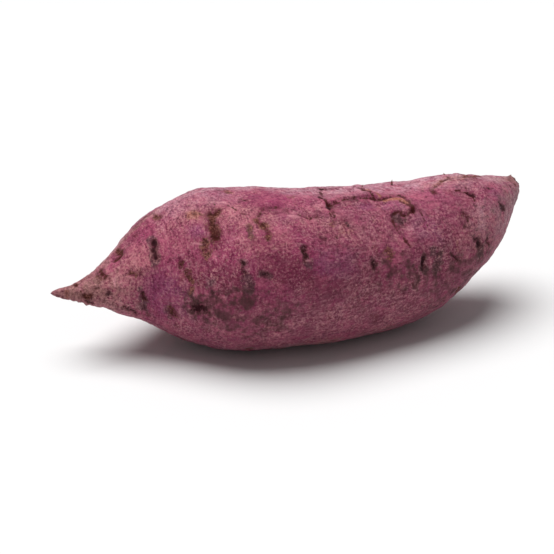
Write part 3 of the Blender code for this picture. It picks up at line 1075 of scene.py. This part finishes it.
colour = layer(PURPLE, ROSE, between(mottle, 0.38, 0.68))
colour = layer(colour, WINE_AND_SHADE, times(between(broad, 0.44, 0.78), 0.55))
colour = lay_torn(colour, SKIN_DRIFTS)
# a pale layer of dust and painted sheen on the top and along the left rim
colour = layer(colour, BLOOM_AND_SHEEN, times(times(mask("bloom_and_sheen"), between(powder, 0.36, 0.62)), 0.8))
colour = layer(colour, STAIN, times(between(smudge, 0.44, 0.26), 0.5))
print(len(SKIN_DRIFTS), "kinds of patches over the purple")

# %% Stain the skin round its marks
MARK_STAINS = (
    # dark smears, and painted shade in the slot and in the hook's hollow
    (SLATE_AND_SHADE, "slate_and_shade", 0.1, 0.9, 0.85),
    (STAIN, "stain", 0.3, 1.2, 0.75),
    (CRUST_BROWN, "crust", 0.4, 1.1, 0.6),
)
colour = lay_torn(colour, MARK_STAINS)
colour = layer(colour, CRUST, times(torn("crust", 0.4, 1.0), times(between(finer, 0.46, 0.60), 0.7)))
colour = layer(colour, OCHRE, times(torn("ochre", 0.25, 0.95, grit=1.6, clumps=0.4), 0.9))
print(len(MARK_STAINS) + 2, "stains round the marks")

# %% Speckle it with pale and dark grain
pale_share = plus(0.3, times(drift, 0.45))
dark_share = plus(0.4, times(other_drift, 0.45))
dust_share = calculate("MAXIMUM", mask("haze"), between(smudge, 0.50, 0.80))
dust_share = calculate("MAXIMUM", dust_share, times(mask("tail"), 0.8))
fibre = layer(fibre_along, fibre_round, mask("across"))

# each has a colour, where it lies, and its strength
GRAINS = (
    (PALE_GRAIN, between(fine, 0.50, 0.70), pale_share),
    (DARK_GRAIN, between(fine, 0.50, 0.31), dark_share),
    (DARK_GRAIN, between(finer, 0.60, 0.68), 0.5),
    # pale flecks on the bloom are painted glints on the top's small bumps
    (BLOOM_AND_SHEEN, between(pores, 0.46, 0.36), times(mask("bloom_and_sheen"), 0.4)),
    (WINE_AND_SHADE, between(pores, 0.54, 0.66), times(mask("bloom_and_sheen"), 0.7)),
    (PALE_GRAIN, between(fibre, 0.50, 0.74), times(pale_share, 0.5)),
    (DARK_GRAIN, between(fibre, 0.50, 0.28), 0.4),
    (PALE_GRAIN, between(whorls, 0.54, 0.72), times(drift, 0.45)),
    (DARK_GRAIN, between(whorls, 0.46, 0.28), 0.4),
    (DUST, between(plus(fine, times(dust_share, 0.14)), 0.56, 0.76), 0.4),
    (DARK_GRAIN, between(grain, 0.60, 0.72), 0.4),
    (DUST, between(specks, 0.57, 0.69), times(drift, 0.6)),
    (DARK_GRAIN, between(specks, 0.44, 0.31), times(dark_share, 0.8)),
)
for paint, where, strength in GRAINS:
    colour = layer(colour, paint, times(where, strength))
print(len(GRAINS), "kinds of grain")

# %% Paint the soil, the cork, the broken end and the seams
# soil, with painted shade under the fold, in the hook's hollow and low on the front
colour = layer(colour, SOIL_AND_SHADE, times(torn("soil_and_shade", 0.2, 1.1, clumps=2.0), 0.8))

scar_core = layer(PIT, CORK, between(mask("crust"), 0.0, 0.5))
colour = layer(colour, scar_core, times(torn("scar", 0.3, 1.1, grit=3.2, clumps=1.0), 0.95))
crumbs = times(between(finer, 0.48, 0.58), between(grain, 0.36, 0.56))
colour = layer(colour, CORK_CRUMB, times(torn("crust", 0.3, 0.9, grit=2.0), times(crumbs, 0.75)))
# pale lines of wear, and painted highlights on the step's edge and on the bump near the arch
colour = layer(colour, WORN_SKIN_AND_HIGHLIGHT, times(mask("worn_and_highlight"), 0.6))

broken_end = layer(STUB, CORK, times(between(grain, 0.44, 0.60), 0.8))
broken_end = layer(broken_end, DUST, times(between(finer, 0.52, 0.62), 0.5))
colour = layer(colour, broken_end, times(torn("stub", 0.25, 1.0, grit=2.0), 0.9))

# dark seams, and the painted shadow below the fold, the step and the arch
ragged_seam_and_shade = plus(plus(mask("seam_and_shade"), swing(fine, 1.3)), swing(grain, 1.1))
colour = layer(colour, SEAM_AND_SHADE, times(between(ragged_seam_and_shade, 0.62, 0.92), 0.92))
tree.links.new(colour, shader.inputs["Base Color"])
print("the paint has", len(tree.nodes), "nodes")

# %% Set the gloss and the fine bump
SKIN_GLOSS = {
    "Specular IOR Level": 0.14,
    "Sheen Weight": 0.22,
    "Sheen Roughness": 0.25,
    "Sheen Tint": (1.0, 0.86, 0.92, 1.0),
}
PEBBLE_HEIGHT = 0.42 * MM

for socket, value in SKIN_GLOSS.items():
    shader.inputs[socket].default_value = value
cork_rough = times(mask("scar"), 0.95)
rough = calculate("MAXIMUM", plus(0.5, times(grain, 0.2)), cork_rough, clamp=True)
tree.links.new(rough, shader.inputs["Roughness"])

pebbling = plus(plus(times(fine, 0.6), grain), times(fibre_round, 0.5))
bump = tree.nodes.new("ShaderNodeBump")
bump.inputs["Strength"].default_value = 0.7
bump.inputs["Distance"].default_value = PEBBLE_HEIGHT
tree.links.new(pebbling, bump.inputs["Height"])
tree.links.new(bump.outputs["Normal"], shader.inputs["Normal"])
mesh.materials.append(skin_material)
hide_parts("sweet_potato")
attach(purple_root, "root")
print("the skin stands in for the packed root")

# %% [markdown]
# ## Rootlets
#
# Here and there a side root broke off short, and a stiff brown hair is left, or a flake of dry skin that
# curls up. They are too slim for bump, and against the white paper they show at the outline. Each is a
# small tapered tube that starts under the skin and bends as it goes.

# %% Shape one rootlet
ROOTLET_SIDES = 7
ROOTLET_RINGS = 6
FOOT_DEPTH = 0.4
TAPER = 0.85
BEND_SHARE = 0.5


class Rootlet(NamedTuple):
    along: float
    around: float
    length: float
    half_width: float


def rootlet_tube(rootlet, bend):
    """The points and faces of one tapered hair that stands on the skin and bends over."""
    i = int(np.abs(along[:, 0] - rootlet.along).argmin())
    k = round(rootlet.around % 360 / 360 * SPOKES) % SPOKES
    foot, out = Vector(skin[i, k]), Vector(normal[i, k])
    sideways = Vector(lengthwise[i, k]).normalized()
    third = out.cross(sideways)
    lean = math.cos(bend) * sideways + math.sin(bend) * third
    tube, tube_faces = [], []
    for j in range(ROOTLET_RINGS):
        share = j / (ROOTLET_RINGS - 1)
        rise = rootlet.length * share - FOOT_DEPTH
        middle = foot + out * rise + lean * (BEND_SHARE * rootlet.length * share**2)
        spread = rootlet.half_width * (1 - TAPER * share)
        for m in range(ROOTLET_SIDES):
            angle = 2 * math.pi * m / ROOTLET_SIDES
            tube.append(middle + spread * (math.cos(angle) * sideways + math.sin(angle) * third))
    for j in range(ROOTLET_RINGS - 1):
        base, top = j * ROOTLET_SIDES, (j + 1) * ROOTLET_SIDES
        for m in range(ROOTLET_SIDES):
            n = (m + 1) % ROOTLET_SIDES
            tube_faces.append((base + m, base + n, top + n, top + m))
    tube_faces.append(tuple(reversed(range(ROOTLET_SIDES))))
    tube_faces.append(tuple(range(len(tube) - ROOTLET_SIDES, len(tube))))
    return tube, tube_faces


print("each rootlet has", ROOTLET_SIDES * (ROOTLET_RINGS - 1) + 2, "faces")

# %% Grow the rootlets
ROOTLETS = (
    Rootlet(141.1, -12.3, 2.8, 0.6), Rootlet(126.5, -6.0, 1.3, 0.5),
    Rootlet(123.5, -10.0, 1.0, 0.4), Rootlet(164.9, -11.0, 1.2, 0.5),
    Rootlet(31.9, 99.0, 1.6, 0.3), Rootlet(62.5, 15.0, 1.2, 0.35),
    Rootlet(12.8, 122.0, 1.4, 0.35), Rootlet(3.0, 60.0, 1.8, 0.3),
    Rootlet(198.0, -18.0, 0.9, 0.8), Rootlet(85.0, 242.0, 2.0, 0.35),
    Rootlet(150.0, 238.0, 2.6, 0.4), Rootlet(112.0, 262.0, 2.2, 0.4),
    Rootlet(48.0, 248.0, 2.4, 0.35), Rootlet(172.0, 236.0, 2.4, 0.35),
    Rootlet(66.0, 286.0, 2.0, 0.4), Rootlet(134.0, 300.0, 1.6, 0.4),
)
hairs, hair_faces = [], []
for rootlet in ROOTLETS:
    tube, tube_faces = rootlet_tube(rootlet, bend=draw.uniform(0, 2 * math.pi))
    hair_faces += [tuple(corner + len(hairs) for corner in face) for face in tube_faces]
    hairs += [Vector((x, y, max(z, 0.0))) * MM for x, y, z in tube]
hair_mesh = bpy.data.meshes.new("rootlets")
hair_mesh.from_pydata(hairs, [], hair_faces)
hair_mesh.shade_smooth()
rootlets = bpy.data.objects.new("rootlets", hair_mesh)
bpy.context.scene.collection.objects.link(rootlets)
print(len(ROOTLETS), "rootlets with", len(hair_mesh.polygons), "faces")

# %% [markdown]
# ## The rootlets' material
#
# A dry rootlet is brown bark, darker at its foot, with no purple left in it. A little noise along it is
# enough, because it is never wider than a millimetre.

# %% Paint the rootlets
BARK = from_screen(104, 72, 66)
BARK_PALE = from_screen(172, 130, 118)
BARK_GLOSS = {"Roughness": 0.8, "Specular IOR Level": 0.2}

bark_material, tree, shader, object_place = open_material("dry_bark")
bark_grain = speckle(0.7, 3.0, 0.6, seed=21)
tree.links.new(layer(BARK, BARK_PALE, between(bark_grain, 0.42, 0.62)), shader.inputs["Base Color"])
for socket, value in BARK_GLOSS.items():
    shader.inputs[socket].default_value = value
hair_mesh.materials.append(bark_material)
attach(rootlets, "root")
print("the bark has", len(tree.nodes), "nodes")

# %% Finish
bpy.context.view_layer.update()
